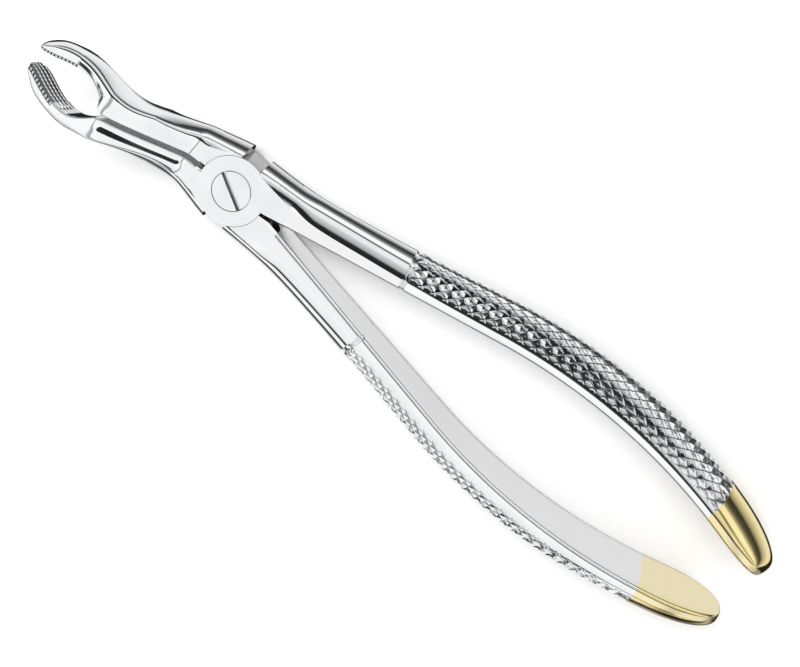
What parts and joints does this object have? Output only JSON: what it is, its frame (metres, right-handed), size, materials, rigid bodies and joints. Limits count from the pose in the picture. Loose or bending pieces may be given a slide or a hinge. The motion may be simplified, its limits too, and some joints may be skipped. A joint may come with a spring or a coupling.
{
  "type": "extraction forceps",
  "caption": "Dental extraction forceps with bayonet beaks, serrated inserts, a screwed lap joint, knurled grips and gold-plated handle ends.",
  "frame": {"origin": "on the pivot axis, at the flat back face of the lap joint", "axes": "+X from the joint towards the handle ends, +Y the way the front half's handle opens, +Z along the pivot axis towards the slotted screw head"},
  "size_m": [0.1854, 0.0438, 0.0267],
  "materials": {
    "polished_steel": "mirror polished stainless steel",
    "satin_steel": "polished stainless steel with satin flats",
    "screw_steel": "finely turned stainless steel",
    "knurled_steel": "polished stainless steel with diamond knurling",
    "serrated_insert": "matt grey carbide with ground serrations",
    "gold_plate": "polished pale gold plating over steel"
  },
  "bodies": {
    "back_half": {"back_joint": "polished_steel", "back_neck": "satin_steel", "back_beak": "polished_steel", "back_beak_insert": "serrated_insert", "back_shank": "polished_steel", "back_grip": "knurled_steel", "back_handle_end": "gold_plate", "pivot_screw": "screw_steel"},
    "front_half": {"front_joint": "polished_steel", "front_neck": "satin_steel", "front_beak": "polished_steel", "front_beak_insert": "serrated_insert", "front_shank": "polished_steel", "front_grip": "knurled_steel", "front_handle_end": "gold_plate"}
  },
  "joints": [
    {"name": "pivot", "type": "hinge", "parent": "back_half", "child": "front_half", "pos_m": [0, 0, 0], "axis": [0, 0, 1], "range_deg": [-1.5, 29]}
  ]
}
